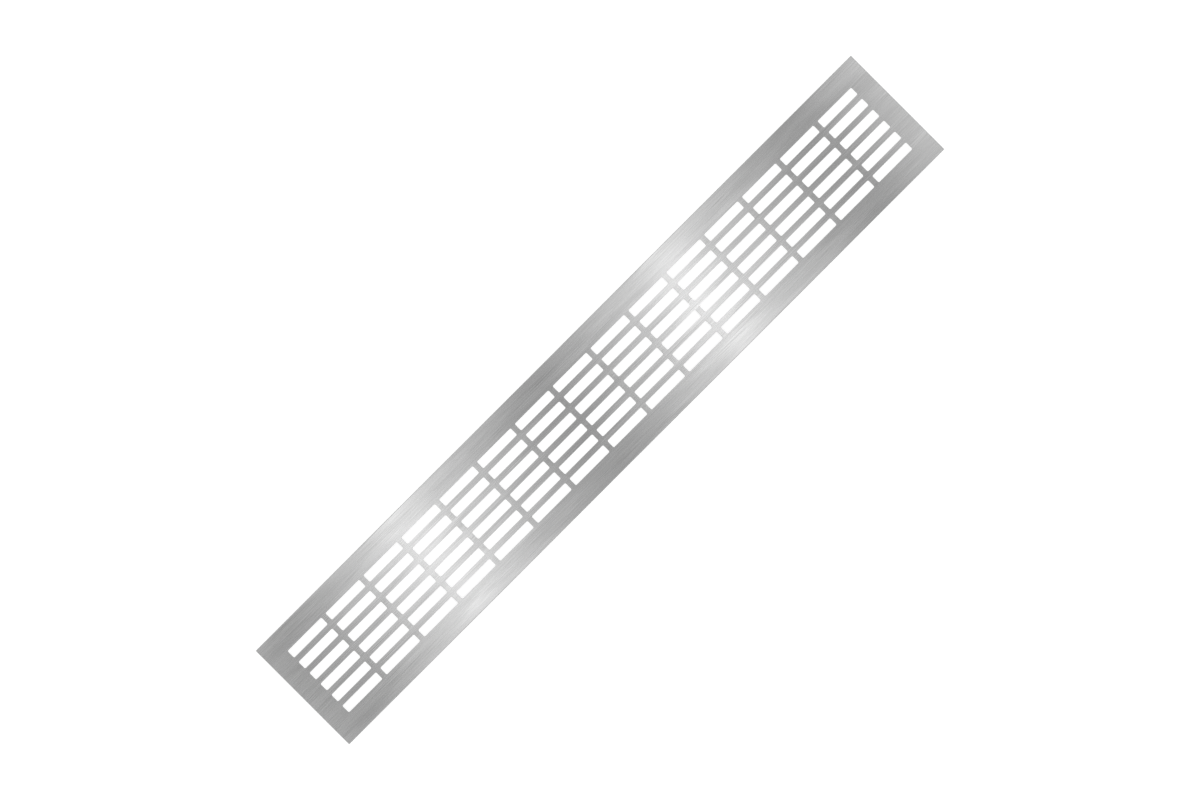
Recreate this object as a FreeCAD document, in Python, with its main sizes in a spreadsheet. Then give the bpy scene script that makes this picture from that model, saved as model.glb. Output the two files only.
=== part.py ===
"""Slotted ventilation grille: a flat aluminium face with two locating legs, made in one piece.

The face is laid over a rectangular cut-out in a worktop, plinth or cabinet panel. A section is extruded
along X: a flat face with rounded long edges, and two legs under it. The legs are then notched back at
both ends, so that they drop into the cut-out while the face laps over it on all four sides. Last, rows
of round-cornered slots are punched through the face between the legs.

Frame: X along the length, Y across, +Z up. The origin is the middle of the seating plane, which is the
underside of the face, so the legs hang below Z = 0 and the show face is at Z = face_thickness.
Sizes are in millimetres.
"""

import FreeCAD
import Part
import math
import os
from enum import IntEnum

import Sketcher

NODE = "grille"

SIZES = [
    ("face_length", 500.0, "face, along X"),
    ("face_width", 78.5, "face, along Y"),
    ("face_thickness", 1.5, "face, along Z"),
    ("edge_radius", 0.5, "round on the face's long edges"),
    ("end_bevel", 0.25, "edge broken where the face was sawn to length"),
    ("overlap", 10.0, "how far the face laps over the cut-out, on all four sides"),
    ("leg_depth", 6.5, "legs, below the seating plane"),
    ("leg_thickness", 1.3, "legs, along Y"),
    ("leg_lead_in", 0.5, "bevel on the outside of each leg's foot"),
    ("leg_root_radius", 0.6, "fillet inside each leg, under the face"),
    ("slot_length", 28.3, "slot, along X"),
    ("slot_width", 5.6, "slot, along Y"),
    ("slot_corner_radius", 0.8, "slot corners"),
    ("bridge_width", 3.5, "metal between two slots of a row"),
    ("bar_width", 3.6, "metal between two rows"),
]

# Formulas on the sizes. The slots fill the rectangle that the legs enclose, with as many whole pitches
# as fit, so at least half a bridge and half a bar are left beside the legs.
LEG_LENGTH = "(Sizes.face_length - 2 * Sizes.overlap)"
LEG_SPAN = "(Sizes.face_width - 2 * Sizes.overlap)"
COLUMN_PITCH = "(Sizes.slot_length + Sizes.bridge_width)"
ROW_PITCH = "(Sizes.slot_width + Sizes.bar_width)"
COLUMNS = f"floor({LEG_LENGTH} / {COLUMN_PITCH})"
ROWS = f"floor(({LEG_SPAN} - 2 * Sizes.leg_thickness) / {ROW_PITCH})"
BLOCK_LENGTH = f"({COLUMNS} * {COLUMN_PITCH} - Sizes.bridge_width)"
BLOCK_WIDTH = f"({ROWS} * {ROW_PITCH} - Sizes.bar_width)"

HORIZONTAL_AXIS = -1


class EdgeEnd(IntEnum):
    """The sketcher's own numbers for an edge's two ends. An edge and one of its ends make a point."""
    START = 1
    END = 2


START, END = EdgeEnd
ORIGIN = (HORIZONTAL_AXIS, START)


def add_sizes(doc):
    """The spreadsheet of driving dimensions, one row each: name, value, meaning."""
    sheet = doc.addObject("Spreadsheet::Sheet", "Sizes")
    for row, (alias, value, meaning) in enumerate(SIZES, start=1):
        sheet.set(f"A{row}", alias)
        sheet.set(f"B{row}", str(value))
        sheet.set(f"C{row}", meaning)
        sheet.setAlias(f"B{row}", alias)
    doc.recompute()


def origin_feature(body, role):
    """One of the body's own origin planes or axes."""
    return next(feature for feature in body.Origin.OriginFeatures if feature.Role == role)


def add_sketch(body, name, plane):
    sketch = body.newObject("Sketcher::SketchObject", name)
    sketch.AttachmentSupport = [(origin_feature(body, plane), "")]
    sketch.MapMode = "FlatFace"
    return sketch


def constrain(sketch, kind, *where):
    return sketch.addConstraint(Sketcher.Constraint(kind, *where))


def dimension(sketch, kind, *where, formula):
    """A driving dimension with a formula on the sizes for its value."""
    value = sketch.evalExpression(formula)
    index = constrain(sketch, kind, *where, value)
    sketch.setExpression(f"Constraints[{index}]", formula)


def draw_corner(sketch, before, corner, after, radius):
    """A right-angled corner's rounding, and which of its ends the line before and the line after meet."""
    to_before = (before - corner).normalize()
    to_after = (after - corner).normalize()
    centre = corner + (to_before + to_after) * radius
    circle = Part.Circle(centre, FreeCAD.Vector(0, 0, 1), radius)
    turns_left = to_after.cross(to_before).z > 0
    first = -to_after if turns_left else -to_before
    start = math.atan2(first.y, first.x)
    arc = sketch.addGeometry(Part.ArcOfCircle(circle, start, start + math.pi / 2))
    return arc, (START, END) if turns_left else (END, START)


def draw_outline(sketch, corners):
    """A closed chain of lines through the corners, each (x, y, radius), anticlockwise round the metal.

    A radius above zero rounds its corner with a tangent arc. Lines drawn level or upright are held so.
    The lines come back in order, each from its own corner to the next one, and then the arcs.
    """
    points = [FreeCAD.Vector(x, y, 0) for x, y, _ in corners]
    radii = [radius for _, _, radius in corners]
    following = [*range(1, len(corners)), 0]
    lines = []
    for here, there in enumerate(following):
        along = (points[there] - points[here]).normalize()
        start = points[here] + along * radii[here]
        end = points[there] - along * radii[there]
        lines.append(sketch.addGeometry(Part.LineSegment(start, end)))
        if along.y == 0:
            constrain(sketch, "Horizontal", lines[-1])
        if along.x == 0:
            constrain(sketch, "Vertical", lines[-1])
    arcs = []
    for here, there in enumerate(following):
        before, after = lines[here], lines[there]
        if radii[there] == 0:
            constrain(sketch, "Coincident", before, END, after, START)
            continue
        beyond = points[following[there]]
        arc, (near, far) = draw_corner(sketch, points[here], points[there], beyond, radii[there])
        constrain(sketch, "Tangent", before, END, arc, near)
        constrain(sketch, "Tangent", arc, far, after, START)
        arcs.append(arc)
    return lines, arcs


def draw_half_section(sketch, size):
    """The right half of the extruded section, seen along X: the face, and the leg under it."""
    half = size["face_width"] / 2
    outer = half - size["overlap"]
    inner = outer - size["leg_thickness"]
    foot = -size["leg_depth"]
    lead_in = size["leg_lead_in"]
    lines, (root, edge) = draw_outline(sketch, [
        (0, 0, 0),
        (inner, 0, size["leg_root_radius"]),
        (inner, foot, 0),
        (outer - lead_in, foot, 0),
        (outer, foot + lead_in, 0),
        (outer, 0, 0),
        (half, 0, 0),
        (half, size["face_thickness"], size["edge_radius"]),
        (0, size["face_thickness"], 0),
    ])
    underside, inside, _, lead, outside, seat, rim, face, _ = lines
    constrain(sketch, "Coincident", underside, START, *ORIGIN)
    constrain(sketch, "PointOnObject", seat, START, HORIZONTAL_AXIS)
    dimension(sketch, "DistanceX", *ORIGIN, rim, START, formula="Sizes.face_width / 2")
    dimension(sketch, "DistanceY", *ORIGIN, face, END, formula="Sizes.face_thickness")
    dimension(sketch, "Radius", edge, formula="Sizes.edge_radius")
    dimension(sketch, "DistanceX", seat, START, seat, END, formula="Sizes.overlap")
    dimension(sketch, "DistanceY", inside, END, *ORIGIN, formula="Sizes.leg_depth")
    dimension(sketch, "DistanceX", inside, END, outside, START, formula="Sizes.leg_thickness")
    dimension(sketch, "Radius", root, formula="Sizes.leg_root_radius")
    dimension(sketch, "DistanceX", lead, START, lead, END, formula="Sizes.leg_lead_in")
    dimension(sketch, "DistanceY", lead, START, lead, END, formula="Sizes.leg_lead_in")


def draw_end_cuts(sketch, size):
    """What is cut off the profile at its end, seen along Y: the ends of the legs, and the face's edge."""
    end = size["face_length"] / 2
    leg_end = end - size["overlap"]
    bevel = size["end_bevel"]
    top = size["face_thickness"]
    (notch_foot, notch_end, notch_top, _), _ = draw_outline(sketch, [
        (leg_end, -size["leg_depth"], 0),
        (end, -size["leg_depth"], 0),
        (end, 0, 0),
        (leg_end, 0, 0),
    ])
    (bevel_end, bevel_top, _), _ = draw_outline(sketch, [
        (end, top - bevel, 0),
        (end, top, 0),
        (end - bevel, top, 0),
    ])
    constrain(sketch, "PointOnObject", notch_top, START, HORIZONTAL_AXIS)
    dimension(sketch, "DistanceX", *ORIGIN, notch_foot, START, formula=f"{LEG_LENGTH} / 2")
    dimension(sketch, "DistanceX", notch_foot, START, notch_foot, END, formula="Sizes.overlap")
    dimension(sketch, "DistanceY", notch_end, START, notch_end, END, formula="Sizes.leg_depth")
    dimension(sketch, "DistanceX", *ORIGIN, bevel_end, END, formula="Sizes.face_length / 2")
    dimension(sketch, "DistanceY", *ORIGIN, bevel_end, END, formula="Sizes.face_thickness")
    dimension(sketch, "DistanceY", bevel_end, START, bevel_end, END, formula="Sizes.end_bevel")
    dimension(sketch, "DistanceX", bevel_top, END, bevel_top, START, formula="Sizes.end_bevel")


def draw_slot(sketch):
    """The first slot of the block, on the show face."""
    sketch.setExpression("AttachmentOffset.Base.z", "Sizes.face_thickness")
    left = -sketch.evalExpression(f"{BLOCK_LENGTH} / 2")
    bottom = -sketch.evalExpression(f"{BLOCK_WIDTH} / 2")
    right = left + sketch.evalExpression("Sizes.slot_length")
    top = bottom + sketch.evalExpression("Sizes.slot_width")
    radius = sketch.evalExpression("Sizes.slot_corner_radius")
    (bottom_edge, right_edge, top_edge, left_edge), (first_arc, *other_arcs) = draw_outline(sketch, [
        (left, bottom, radius),
        (right, bottom, radius),
        (right, top, radius),
        (left, top, radius),
    ])
    for arc in other_arcs:
        constrain(sketch, "Equal", first_arc, arc)
    dimension(sketch, "Radius", first_arc, formula="Sizes.slot_corner_radius")
    dimension(sketch, "DistanceX", left_edge, END, *ORIGIN, formula=f"{BLOCK_LENGTH} / 2")
    dimension(sketch, "DistanceY", bottom_edge, START, *ORIGIN, formula=f"{BLOCK_WIDTH} / 2")
    dimension(sketch, "DistanceX", left_edge, END, right_edge, START, formula="Sizes.slot_length")
    dimension(sketch, "DistanceY", bottom_edge, START, top_edge, START, formula="Sizes.slot_width")


def add_feature(body, kind, name, formulas=None, **settings):
    """A Part Design feature, which becomes the body's tip. Formulas go to the properties they name."""
    feature = body.newObject(f"PartDesign::{kind}", name)
    for key, setting in settings.items():
        setattr(feature, key, setting)
    for key, formula in (formulas or {}).items():
        feature.setExpression(key, formula)
    body.Tip = feature
    return feature


def add_profile(body, size):
    """The extruded profile, whole: half of it, and its mirror image."""
    half_section = add_sketch(body, "HalfSection", "YZ_Plane")
    draw_half_section(half_section, size)
    half_profile = add_feature(body, "Pad", "HalfProfile", Profile=half_section, SideType="Symmetric",
                               formulas={"Length": "Sizes.face_length"})
    middle = (origin_feature(body, "XZ_Plane"), [""])
    add_feature(body, "Mirrored", "Profile", Originals=[half_profile], MirrorPlane=middle)


def add_end_cuts(body, size):
    """One end's cuts, which run right across the profile, and the same at the other end."""
    outline = add_sketch(body, "EndCutOutline", "XZ_Plane")
    draw_end_cuts(outline, size)
    one_end = add_feature(body, "Pocket", "EndCut", Profile=outline, Type="ThroughAll", SideType="Symmetric")
    middle = (origin_feature(body, "YZ_Plane"), [""])
    both_ends = add_feature(body, "Mirrored", "EndCuts", Originals=[one_end], MirrorPlane=middle)
    return one_end, both_ends


def add_slots(body):
    """One slot, punched down through the face, and the whole block of them."""
    outline = add_sketch(body, "SlotOutline", "XY_Plane")
    draw_slot(outline)
    slot = add_feature(body, "Pocket", "Slot", Profile=outline, Type="ThroughAll")
    along = (origin_feature(body, "X_Axis"), [""])
    across = (origin_feature(body, "Y_Axis"), [""])
    block = add_feature(body, "LinearPattern", "Slots", Originals=[slot],
                        Direction=along, Direction2=across, formulas={
                            "Length": f"{BLOCK_LENGTH} - Sizes.slot_length",
                            "Occurrences": COLUMNS,
                            "Length2": f"{BLOCK_WIDTH} - Sizes.slot_width",
                            "Occurrences2": ROWS,
                        })
    return slot, block


def removed_volume(cut):
    return cut.BaseFeature.Shape.Volume - cut.Shape.Volume


def check_features(doc):
    """Every object was worked out, and every solid is sound."""
    for feature in doc.Objects:
        if {"Invalid", "Error"} & set(feature.State):
            raise RuntimeError(f"{feature.Name} failed: {feature.State}")
        if feature.isDerivedFrom("PartDesign::Feature") and not feature.Shape.isValid():
            raise RuntimeError(f"{feature.Name} is not a sound shape")
        if feature.isDerivedFrom("Sketcher::SketchObject") and not feature.FullyConstrained:
            raise RuntimeError(f"{feature.Name} is not fully constrained")


def check_copies(whole, original, count):
    """A mirror or pattern cut as much again as its original, for each of the other copies."""
    expected = (count - 1) * removed_volume(original)
    if expected <= 0 or not math.isclose(removed_volume(whole), expected, rel_tol=1e-6):
        raise RuntimeError(f"{whole.Name} cut {removed_volume(whole):.3f} mm3, not {expected:.3f} mm3")


def main():
    doc = FreeCAD.newDocument("VentilationGrille")
    add_sizes(doc)
    size = {alias: value for alias, value, _ in SIZES}
    body = doc.addObject("PartDesign::Body", NODE)
    add_profile(body, size)
    one_end, both_ends = add_end_cuts(body, size)
    slot, block = add_slots(body)
    doc.recompute()
    check_features(doc)
    check_copies(both_ends, one_end, 2)
    check_copies(block, slot, block.Occurrences * block.Occurrences2)
    if body.Shape.isNull() or len(body.Shape.Solids) != 1:
        raise RuntimeError("the grille is not one solid")
    os.makedirs("parts", exist_ok=True)
    body.Shape.exportStep(f"parts/{body.Label}.step")
    print(f"{block.Occurrences} columns and {block.Occurrences2} rows of slots,"
          f" {body.Shape.Volume / 1000:.2f} cm3 of metal")


main()
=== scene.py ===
import math

import bmesh
import bpy
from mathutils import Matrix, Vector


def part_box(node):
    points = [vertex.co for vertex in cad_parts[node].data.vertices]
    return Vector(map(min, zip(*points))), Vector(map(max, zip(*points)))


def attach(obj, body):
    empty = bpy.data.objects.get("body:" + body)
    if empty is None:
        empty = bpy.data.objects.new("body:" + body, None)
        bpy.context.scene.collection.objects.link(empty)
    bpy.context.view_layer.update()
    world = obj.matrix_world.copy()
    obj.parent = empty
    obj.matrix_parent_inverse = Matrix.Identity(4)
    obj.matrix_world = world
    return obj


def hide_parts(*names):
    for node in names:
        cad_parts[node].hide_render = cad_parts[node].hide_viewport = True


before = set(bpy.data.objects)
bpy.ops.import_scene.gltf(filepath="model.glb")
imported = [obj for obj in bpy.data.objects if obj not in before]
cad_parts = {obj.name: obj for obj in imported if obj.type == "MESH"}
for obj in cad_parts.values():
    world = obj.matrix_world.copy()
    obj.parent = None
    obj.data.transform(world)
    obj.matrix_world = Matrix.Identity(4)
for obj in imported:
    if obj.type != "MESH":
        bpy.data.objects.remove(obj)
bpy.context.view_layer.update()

NODE = "grille"
MM = 0.001

# The face and its legs. The outside comes from the frame, and the underside of the face is at height 0.
grille_low, grille_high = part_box(NODE)
HALF_LENGTH = grille_high.x
HALF_WIDTH = grille_high.y
TOP = grille_high.z
FOOT = grille_low.z
OVERLAP = 10.0 * MM
EDGE_RADIUS = 0.5 * MM
END_BEVEL = 0.25 * MM
LEG_THICKNESS = 1.3 * MM
LEG_LEAD_IN = 0.5 * MM
LEG_ROOT_RADIUS = 0.6 * MM
LEG_END = HALF_LENGTH - OVERLAP
LEG_OUTSIDE = HALF_WIDTH - OVERLAP
LEG_INSIDE = LEG_OUTSIDE - LEG_THICKNESS
LEG_ROOT = LEG_INSIDE - LEG_ROOT_RADIUS
RIM_FLAT = HALF_WIDTH - EDGE_RADIUS
BEVEL_FOOT = TOP - END_BEVEL

# The slots, in rows along the length. Bridges stand between the slots of a row, and bars between rows.
SLOT_LENGTH = 28.3 * MM
SLOT_WIDTH = 5.6 * MM
SLOT_CORNER_RADIUS = 0.8 * MM
BRIDGE_WIDTH = 3.5 * MM
BAR_WIDTH = 3.6 * MM
COLUMN_PITCH = SLOT_LENGTH + BRIDGE_WIDTH
ROW_PITCH = SLOT_WIDTH + BAR_WIDTH
COLUMNS = int(2 * LEG_END / COLUMN_PITCH)
ROWS = int(2 * LEG_INSIDE / ROW_PITCH)
CORNER_X = SLOT_LENGTH / 2 - SLOT_CORNER_RADIUS
CORNER_Y = SLOT_WIDTH / 2 - SLOT_CORNER_RADIUS

# What the punch leaves: an edge drawn in at the top, and walls that flare where the slug broke away.
ROLL_IN = 0.1 * MM
BREAK_HEIGHT = 0.6 * MM
BREAK_FLARE = 0.04 * MM

# Steps in a quarter turn, and up each side of a cell's corner. A cell is a slot's share of the metal.
CORNER_STEPS = 8
ROLL_IN_STEPS = 3
EDGE_STEPS = 6
ROOT_STEPS = 5
CELL_STEPS = CORNER_STEPS // 2

# Points within the weld become one, and so do lines that agree to so many decimals. Edges that turn
# further than the angle stay sharp.
WELD = 1e-7
LINE_DECIMALS = 9
SHARP_ANGLE = math.radians(35)

# The quarters of a loop, anticlockwise from its right-hand end, each by its side in X and in Y.
QUARTERS = ((1, 1), (-1, 1), (-1, -1), (1, -1))

# The finishes, in the order of the mesh's material slots.
BRUSHED, PUNCHED, EXTRUDED, SAWN = range(4)

# The renderer spreads an anisotropic shine along circles round this far point, so here straight across
# the face.
BRUSHING_CENTRE = -100.0
BRUSHING_ANISOTROPY = 0.85

# The brushed face's tone: what is there all over, and what each kind of mark adds.
BRUSHED_TONE = 0.175
HAIRLINE_TONE = 0.1
DRIFT_TONE = 0.55
STROKE_TONE = 1.9

# How high the extrusion's satin stands against the lines from its die.
SATIN_HEIGHT = 0.5

# The middle of what runs from 0 to 1.
MIDDLE = 0.5

# A Mix node's sockets for colours go by number, because its other sockets have the same names.
MIX_FIRST, MIX_SECOND, MIX_RESULT = 6, 7, 2

# The studio. The card hangs over the grille, and the camera looks straight down through it.
CAMERA_HEIGHT = 5.0
CARD_HEIGHT = 0.30
CARD_HALF_LENGTH = 0.45
CARD_HALF_WIDTH = 0.40
FLOOR_HALF = 10.0
FLOOR_REFLECTION = 0.3
FLOOR_GLOW = 0.92

# The card's light, by where the camera sees it mirrored in the face, in shares of the grille's length
# from its left-hand end: two bright strips in soft light, dark gaps, and soft light beyond both ends.
BEYOND_ENDS = (-0.12, 1.06)
STRIPS = (0.228, 0.668)
STRIP_HALF_WIDTH = 0.023
GAPS = (0.035, 0.462, 0.894)
SOFT = 0.87
BRIGHT = 1.55
DARK = 0.345

# The studio's light: how high up, from straight below, at 0, to straight above, at 1, and how bright.
STUDIO_TONES = (
    (0.0, 0.20), (0.47, 0.24), (0.485, 1.0), (0.525, 1.0),
    (0.545, 0.54), (0.66, 0.60), (0.80, 0.42), (1.0, 0.60),
)

PHOTO_WIDTH_PIXELS = 1200
FACE_LENGTH_PIXELS = 841.7
FACE_TURN = math.radians(45)


def evenly(first, last, steps):
    """Evenly spaced values, from the first to the last."""
    return [first + (last - first) * step / steps for step in range(steps + 1)]


def quarter_turn(steps):
    """The cosine and sine of evenly spaced angles, from 0 to 90 degrees."""
    return [(math.cos(angle), math.sin(angle)) for angle in evenly(0, math.radians(90), steps)]


def add_face(skin, finish, places):
    made = skin.faces.new([skin.verts.new(place) for place in places])
    made.material_index = finish
    made.smooth = True


def add_band(skin, finish, first, second):
    """Quads between two closed loops of as many points."""
    for here in range(len(first)):
        there = (here + 1) % len(first)
        add_face(skin, finish, (first[here], first[there], second[there], second[here]))


def joined_quarters(centre, quarters, height):
    """A closed loop round a centre. Each quarter's (x, y) points are given as if it were the first."""
    loop = []
    for (side_x, side_y), quarter in zip(QUARTERS, quarters):
        points = quarter if side_x == side_y else quarter[::-1]
        loop += [(centre[0] + side_x * x, centre[1] + side_y * y, height) for x, y in points]
    return loop


def slot_loop(centre, growth, height):
    """A slot's outline, grown on all sides."""
    reach = SLOT_CORNER_RADIUS + growth
    corner = [
        (CORNER_X + reach * cosine, CORNER_Y + reach * sine)
        for cosine, sine in quarter_turn(CORNER_STEPS)
    ]
    return joined_quarters(centre, [corner] * len(QUARTERS), height)


def cell_corner(reach_x, reach_y):
    """A quarter of a cell's outline: up its end, then back along its side."""
    up_the_end = [(reach_x, y) for y in evenly(CORNER_Y, reach_y, CELL_STEPS)]
    along_the_side = [(x, reach_y) for x in evenly(reach_x, CORNER_X, CELL_STEPS)]
    return up_the_end[:-1] + along_the_side


def cell_loop(centre, x_borders, y_borders, height):
    """A cell's outline, with one point for each of its slot's outline."""
    left, right = (abs(border - centre[0]) for border in x_borders)
    front, back = (abs(border - centre[1]) for border in y_borders)
    corners = [
        cell_corner(right, back),
        cell_corner(left, back),
        cell_corner(left, front),
        cell_corner(right, front),
    ]
    return joined_quarters(centre, corners, height)


def centres(count, pitch):
    """The middles of so many slots in a line."""
    return [(number - (count - 1) / 2) * pitch for number in range(count)]


def cells(middles, block_end):
    """Each cell's borders in one direction: midway to the next slot, or at the block's end."""
    borders = [(one + other) / 2 for one, other in zip(middles, middles[1:])]
    return list(zip([-block_end, *borders], [*borders, block_end]))


def cell_lines(middles, block_end, to_corner):
    """The places in one direction where the cells' outlines have their points."""
    lines = set()
    for middle, borders in zip(middles, cells(middles, block_end)):
        for border in borders:
            corner = middle + math.copysign(to_corner, border - middle)
            lines |= {round(line, LINE_DECIMALS) for line in evenly(corner, border, CELL_STEPS)}
    return sorted(lines)


def add_slot(skin, centre, x_borders, y_borders):
    """A slot with its drawn-in edge and its walls, and the metal round it above and below."""
    drawn_in = [
        slot_loop(centre, ROLL_IN * (1 - sine), TOP - ROLL_IN * (1 - cosine))
        for cosine, sine in quarter_turn(ROLL_IN_STEPS)
    ]
    break_line = slot_loop(centre, 0, BREAK_HEIGHT)
    mouth = slot_loop(centre, BREAK_FLARE, 0)
    add_band(skin, BRUSHED, cell_loop(centre, x_borders, y_borders, TOP), drawn_in[0])
    for upper, lower in zip(drawn_in, drawn_in[1:]):
        add_band(skin, BRUSHED, upper, lower)
    add_band(skin, PUNCHED, drawn_in[-1], break_line)
    add_band(skin, PUNCHED, break_line, mouth)
    add_band(skin, EXTRUDED, mouth, cell_loop(centre, x_borders, y_borders, 0))


def add_slots(skin):
    """The slotted block, cell by cell."""
    columns = centres(COLUMNS, COLUMN_PITCH)
    rows = centres(ROWS, ROW_PITCH)
    for x, x_borders in zip(columns, cells(columns, LEG_END)):
        for y, y_borders in zip(rows, cells(rows, LEG_ROOT)):
            add_slot(skin, (x, y), x_borders, y_borders)


def end_at(height):
    """How far the face reaches at a height, inside the bevel of its sawn end."""
    return HALF_LENGTH - max(0, height - BEVEL_FOOT)


def sweep(skin, finish, outline, lines, to_face_end):
    """The surface that an outline of (y, z) points leaves along the length, on both sides."""
    for side in (-1, 1):
        for (y0, z0), (y1, z1) in zip(outline, outline[1:]):
            if to_face_end:
                first = [-end_at(z0), *lines, end_at(z0)]
                second = [-end_at(z1), *lines, end_at(z1)]
            else:
                first = second = lines
            for x0, x1, x2, x3 in zip(first, first[1:], second[1:], second):
                corners = ((x0, y0, z0), (x1, y0, z0), (x2, y1, z1), (x3, y1, z1))
                add_face(skin, finish, [(x, side * y, z) for x, y, z in corners])


def edge_rounding():
    """The round on the long edges, from the show face down."""
    return [
        (RIM_FLAT + EDGE_RADIUS * sine, TOP - EDGE_RADIUS * (1 - cosine))
        for cosine, sine in quarter_turn(EDGE_STEPS)
    ]


def add_rims(skin, lines):
    """The face beside the slotted block, with its rounded edges and the overlap's underside."""
    rounding = edge_rounding()
    sweep(skin, BRUSHED, [(LEG_ROOT, TOP), (LEG_OUTSIDE, TOP), *rounding], lines, to_face_end=True)
    underside = [rounding[-1], (HALF_WIDTH, 0), (RIM_FLAT, 0), (LEG_OUTSIDE, 0)]
    sweep(skin, EXTRUDED, underside, lines, to_face_end=True)


def add_end_strip(skin, finish, end, height, lines):
    """The flat metal between the slotted block and an end of the face, above or below."""
    near, far = end * LEG_END, end * end_at(height)
    for y0, y1 in zip(lines, lines[1:]):
        corners = ((near, y0), (far, y0), (far, y1), (near, y1))
        add_face(skin, finish, [(x, y, height) for x, y in corners])


def add_end_face(skin, end, outline):
    """A face of a sawn end or its bevel, from (y, z) points."""
    add_face(skin, SAWN, [(end * end_at(z), y, z) for y, z in outline])


def add_ends(skin, lines):
    """The face beyond the slotted block, and its two sawn ends with their bevels."""
    across_end = [-RIM_FLAT, -LEG_OUTSIDE, *lines, LEG_OUTSIDE, RIM_FLAT]
    rounding = edge_rounding()[::-1]
    low_rounding = [(y, z) for y, z in rounding if z < BEVEL_FOOT + WELD]
    high_rounding = [(y, z) for y, z in rounding if z > BEVEL_FOOT - WELD]
    low_corner = [(RIM_FLAT, BEVEL_FOOT), (RIM_FLAT, 0), (HALF_WIDTH, 0), *low_rounding]
    high_corner = [(RIM_FLAT, BEVEL_FOOT), *high_rounding]
    for end in (-1, 1):
        add_end_strip(skin, BRUSHED, end, TOP, lines)
        add_end_strip(skin, EXTRUDED, end, 0, across_end[1:-1])
        for y0, y1 in zip(across_end, across_end[1:]):
            add_end_face(skin, end, ((y0, 0), (y1, 0), (y1, BEVEL_FOOT), (y0, BEVEL_FOOT)))
            add_end_face(skin, end, ((y0, BEVEL_FOOT), (y1, BEVEL_FOOT), (y1, TOP), (y0, TOP)))
        for side in (-1, 1):
            for corner in (low_corner, high_corner):
                add_end_face(skin, end, [(side * y, z) for y, z in corner])


def add_legs(skin, lines):
    """The two legs under the face, with their notched ends."""
    root = [
        (LEG_ROOT + LEG_ROOT_RADIUS * sine, -LEG_ROOT_RADIUS * (1 - cosine))
        for cosine, sine in quarter_turn(ROOT_STEPS)
    ]
    outline = [
        *root,
        (LEG_INSIDE, FOOT),
        (LEG_OUTSIDE - LEG_LEAD_IN, FOOT),
        (LEG_OUTSIDE, FOOT + LEG_LEAD_IN),
        (LEG_OUTSIDE, 0),
    ]
    sweep(skin, EXTRUDED, outline, lines, to_face_end=False)
    for end in (-1, 1):
        for side in (-1, 1):
            add_face(skin, SAWN, [(end * LEG_END, side * y, z) for y, z in outline])


def make_grille(finishes):
    """The grille as one closed skin, with its finishes in the order of the material slots."""
    skin = bmesh.new()
    along = cell_lines(centres(COLUMNS, COLUMN_PITCH), LEG_END, CORNER_X)
    across = cell_lines(centres(ROWS, ROW_PITCH), LEG_ROOT, CORNER_Y)
    add_slots(skin)
    add_rims(skin, along)
    add_ends(skin, across)
    add_legs(skin, along)
    bmesh.ops.remove_doubles(skin, verts=skin.verts, dist=WELD)
    bmesh.ops.recalc_face_normals(skin, faces=skin.faces)
    mesh = bpy.data.meshes.new("slotted_face")
    skin.to_mesh(mesh)
    skin.free()
    mesh.set_sharp_from_angle(angle=SHARP_ANGLE)
    mesh.use_auto_texspace = False
    mesh.texspace_location = (BRUSHING_CENTRE, 0, 0)
    for finish in finishes:
        mesh.materials.append(finish)
    grille = bpy.data.objects.new("slotted_face", mesh)
    bpy.context.collection.objects.link(grille)
    flat_shading = grille.modifiers.new("flat_faces_stay_flat", "WEIGHTED_NORMAL")
    flat_shading.keep_sharp = True
    flat_shading.weight = 100
    return grille


def grey(tone):
    """A tone as an opaque colour."""
    return (tone, tone, tone, 1.0)


def set_stops(stops, tones):
    """Adds stops between a new ramp's two, at 0 and 1, and makes each one the grey of its tone."""
    for place, _ in tones[1:-1]:
        stops.new(place)
    for stop, (place, tone) in zip(stops, tones):
        stop.position = place
        stop.color = grey(tone)


class Wire:
    """A shader socket that Python's operators work on, by adding Math nodes."""

    def __init__(self, shader, socket):
        self.shader = shader
        self.socket = socket

    def math(self, operation, first, second):
        return self.shader.node("ShaderNodeMath", {"operation": operation}, {0: first, 1: second})

    def __add__(self, other):
        return self.math("ADD", self, other)

    def __sub__(self, other):
        return self.math("SUBTRACT", self, other)

    def __rsub__(self, other):
        return self.math("SUBTRACT", other, self)

    def __mul__(self, other):
        return self.math("MULTIPLY", self, other)

    __radd__ = __add__
    __rmul__ = __mul__


class Shader:
    """The nodes of a material or a world, which are added one call at a time."""

    def __init__(self, owner):
        self.owner = owner
        owner.use_nodes = True
        self.tree = owner.node_tree
        self.tree.nodes.clear()

    def node(self, kind, settings=None, sockets=None, output=0):
        """A node of a type, with its settings, then its sockets' values or wires, by name or number.

        What comes back is one of its outputs, by name or number, or None where it has no outputs.
        """
        node = self.tree.nodes.new(kind)
        for name, setting in (settings or {}).items():
            if name == "stops":
                set_stops(node.color_ramp.elements, setting)
            else:
                setattr(node, name, setting)
        for name, value in (sockets or {}).items():
            if isinstance(value, Wire):
                self.tree.links.new(value.socket, node.inputs[name])
            else:
                node.inputs[name].default_value = value
        return Wire(self, node.outputs[output]) if node.outputs else None


def object_place(shader):
    """Where on the object a point is, in metres."""
    return shader.node("ShaderNodeTexCoord", output="Object")


def ramp(shader, position, tones):
    """A grey that runs through the tones, each at its place, by a position from 0 to 1."""
    return shader.node("ShaderNodeValToRGB", {"stops": tones}, {"Fac": position})


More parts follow.
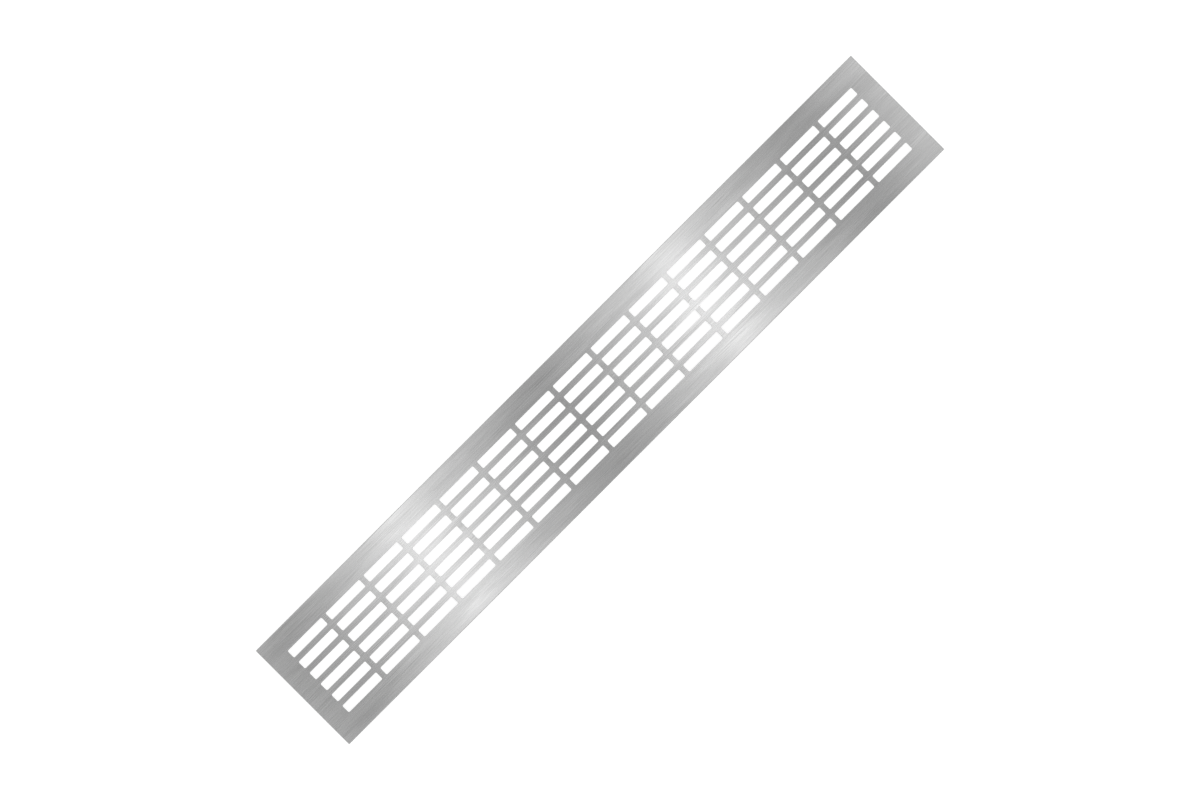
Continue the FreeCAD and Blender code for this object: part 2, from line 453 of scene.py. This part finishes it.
def grain(shader, place, size, detail):
    """Noise round the middle, with grains that measure about the given size along each axis."""
    stretched = shader.node("ShaderNodeVectorMath", {"operation": "DIVIDE"}, {0: place, 1: size})
    sockets = {"Vector": stretched, "Scale": 1.0, "Detail": detail}
    return shader.node("ShaderNodeTexNoise", None, sockets)


def between(low, high, amount):
    """A value between two others, by an amount from 0 to 1."""
    return low + (high - low) * amount


def grey_between(shader, dark, light, amount):
    """A grey between two tones, by an amount from 0 to 1."""
    sockets = {"Factor": amount, MIX_FIRST: grey(dark), MIX_SECOND: grey(light)}
    return shader.node("ShaderNodeMix", {"data_type": "RGBA"}, sockets, MIX_RESULT)


def metal(shader, sockets, height, bump_distance, bump_strength):
    """Makes the surface a metal with the given sockets, and with a bump that follows the height."""
    bump = {"Height": height, "Distance": bump_distance, "Strength": bump_strength}
    sockets = {"Metallic": 1.0, "Normal": shader.node("ShaderNodeBump", None, bump), **sockets}
    surface = shader.node("ShaderNodeBsdfPrincipled", None, sockets)
    shader.node("ShaderNodeOutputMaterial", None, {"Surface": surface})


def glowing_matt(shader, reflection, light, strength):
    """Makes the surface matt, with a share of the light on it reflected, and with light of its own."""
    surface = shader.node("ShaderNodeBsdfPrincipled", None, {
        "Base Color": grey(reflection),
        "Roughness": 0.9,
        "Specular IOR Level": 0.0,
        "Emission Color": light,
        "Emission Strength": strength,
    })
    shader.node("ShaderNodeOutputMaterial", None, {"Surface": surface})


def brushed_finish():
    """The show face: brushed along its length, then clear anodised."""
    shader = Shader(bpy.data.materials.new("brushed_face"))
    place = object_place(shader)
    hairlines = grain(shader, place, size=(20 * MM, 0.15 * MM, 0.15 * MM), detail=2.0)
    strokes = grain(shader, place, size=(24 * MM, 0.55 * MM, 0.55 * MM), detail=1.0)
    drifts = grain(shader, place, size=(45 * MM, 6.0 * MM, 6.0 * MM), detail=3.0)
    patches = grain(shader, place, size=(25 * MM, 5.0 * MM, 5.0 * MM), detail=1.0)
    strokes_in_patches = STROKE_TONE * patches * patches * (strokes - MIDDLE)
    tone = HAIRLINE_TONE * hairlines + DRIFT_TONE * drifts + strokes_in_patches + BRUSHED_TONE
    sockets = {
        "Base Color": grey_between(shader, dark=0.5, light=1.0, amount=tone),
        "Roughness": between(0.22, 0.32, hairlines),
        "Anisotropic": BRUSHING_ANISOTROPY,
    }
    metal(shader, sockets, height=hairlines + strokes, bump_distance=0.01 * MM, bump_strength=0.15)
    return shader.owner


def punched_finish():
    """The slot walls: sheared metal, with fine marks down the wall."""
    shader = Shader(bpy.data.materials.new("punched_wall"))
    scores = grain(shader, object_place(shader), size=(0.12 * MM, 0.12 * MM, 2.0 * MM), detail=2.0)
    sockets = {
        "Base Color": grey_between(shader, dark=0.55, light=0.85, amount=scores),
        "Roughness": between(0.30, 0.55, scores),
    }
    metal(shader, sockets, height=scores, bump_distance=0.02 * MM, bump_strength=0.3)
    return shader.owner


def extruded_finish():
    """The legs, underside and long edges: the anodised profile's satin, with faint lines from its die."""
    shader = Shader(bpy.data.materials.new("extruded_satin"))
    place = object_place(shader)
    die_lines = grain(shader, place, size=(200 * MM, 0.3 * MM, 0.3 * MM), detail=1.0)
    satin = grain(shader, place, size=(0.3 * MM, 0.3 * MM, 0.3 * MM), detail=2.0)
    sockets = {
        "Base Color": grey_between(shader, dark=0.66, light=0.82, amount=die_lines),
        "Roughness": between(0.36, 0.48, satin),
    }
    height = die_lines + SATIN_HEIGHT * satin
    metal(shader, sockets, height, bump_distance=0.01 * MM, bump_strength=0.2)
    return shader.owner


def sawn_finish():
    """The ends of the face and legs: cut to length, with the saw's fine marks across."""
    shader = Shader(bpy.data.materials.new("sawn_end"))
    saw_marks = grain(shader, object_place(shader), size=(4 * MM, 4 * MM, 0.1 * MM), detail=2.0)
    sockets = {
        "Base Color": grey_between(shader, dark=0.6, light=0.88, amount=saw_marks),
        "Roughness": between(0.26, 0.46, saw_marks),
    }
    metal(shader, sockets, height=saw_marks, bump_distance=0.01 * MM, bump_strength=0.3)
    return shader.owner


def plain_plane(name, half_length, half_width, height, material):
    """A stage piece: a flat rectangle over the origin."""
    corners = [
        (-half_length, -half_width, height),
        (half_length, -half_width, height),
        (half_length, half_width, height),
        (-half_length, half_width, height),
    ]
    mesh = bpy.data.meshes.new(name)
    mesh.from_pydata(corners, [], [(0, 1, 2, 3)])
    mesh.materials.append(material)
    plane = bpy.data.objects.new(name, mesh)
    bpy.context.collection.objects.link(plane)
    return plane


def make_floor():
    """A pale light table, white under the grille and in its slots, which the metal doesn't mirror."""
    shader = Shader(bpy.data.materials.new("light_table"))
    glowing_matt(shader, FLOOR_REFLECTION, light=grey(1.0), strength=FLOOR_GLOW)
    floor = plain_plane("floor", FLOOR_HALF, FLOOR_HALF, FOOT, shader.owner)
    floor.visible_glossy = False


def card_tones():
    """Where along the grille the card has which tone, from left to right."""
    tones = [(end, SOFT) for end in BEYOND_ENDS] + [(gap, DARK) for gap in GAPS]
    for strip in STRIPS:
        tones += [(strip - STRIP_HALF_WIDTH, SOFT), (strip, BRIGHT), (strip + STRIP_HALF_WIDTH, SOFT)]
    return sorted(tones)


def make_card():
    """The soft light overhead: a card lit in bands across the grille, which the brushed face mirrors."""
    shader = Shader(bpy.data.materials.new("light_card"))
    mirrored_length = 2 * HALF_LENGTH * (1 + CARD_HEIGHT / CAMERA_HEIGHT)
    x = shader.node("ShaderNodeSeparateXYZ", None, {"Vector": object_place(shader)}, "X")
    share = x * (1 / mirrored_length) + MIDDLE
    first, last = BEYOND_ENDS
    position = (share - first) * (1 / (last - first))
    tones = [((place - first) / (last - first), tone) for place, tone in card_tones()]
    glowing_matt(shader, reflection=0.0, light=ramp(shader, position, tones), strength=1.0)
    card = plain_plane("light_card", CARD_HALF_LENGTH, CARD_HALF_WIDTH, TOP + CARD_HEIGHT, shader.owner)
    card.visible_camera = False


def make_surroundings():
    """The studio round the grille: white at eye level, soft grey above and a darker grey below."""
    world = bpy.data.worlds.new("studio")
    bpy.context.scene.world = world
    shader = Shader(world)
    direction = shader.node("ShaderNodeTexCoord", output="Generated")
    height = shader.node("ShaderNodeSeparateXYZ", None, {"Vector": direction}, "Z")
    light = ramp(shader, MIDDLE * height + MIDDLE, STUDIO_TONES)
    background = shader.node("ShaderNodeBackground", None, {"Color": light, "Strength": 1.0})
    shader.node("ShaderNodeOutputWorld", None, {"Surface": background})


def make_camera():
    """Straight down on the face, with its length rising to the right."""
    lens = bpy.data.cameras.new("camera")
    camera = bpy.data.objects.new("camera", lens)
    bpy.context.collection.objects.link(camera)
    frame_width = 2 * HALF_LENGTH * PHOTO_WIDTH_PIXELS / FACE_LENGTH_PIXELS
    lens.sensor_width = 36.0
    lens.lens = lens.sensor_width * CAMERA_HEIGHT / frame_width
    lens.clip_end = 100.0
    camera.location = (0, 0, TOP + CAMERA_HEIGHT)
    camera.rotation_euler = (0, 0, -FACE_TURN)
    bpy.context.scene.camera = camera


bpy.context.scene.view_settings.view_transform = "Standard"
grille = make_grille([brushed_finish(), punched_finish(), extruded_finish(), sawn_finish()])
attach(grille, "root")
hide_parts(NODE)
make_floor()
make_card()
make_surroundings()
make_camera()
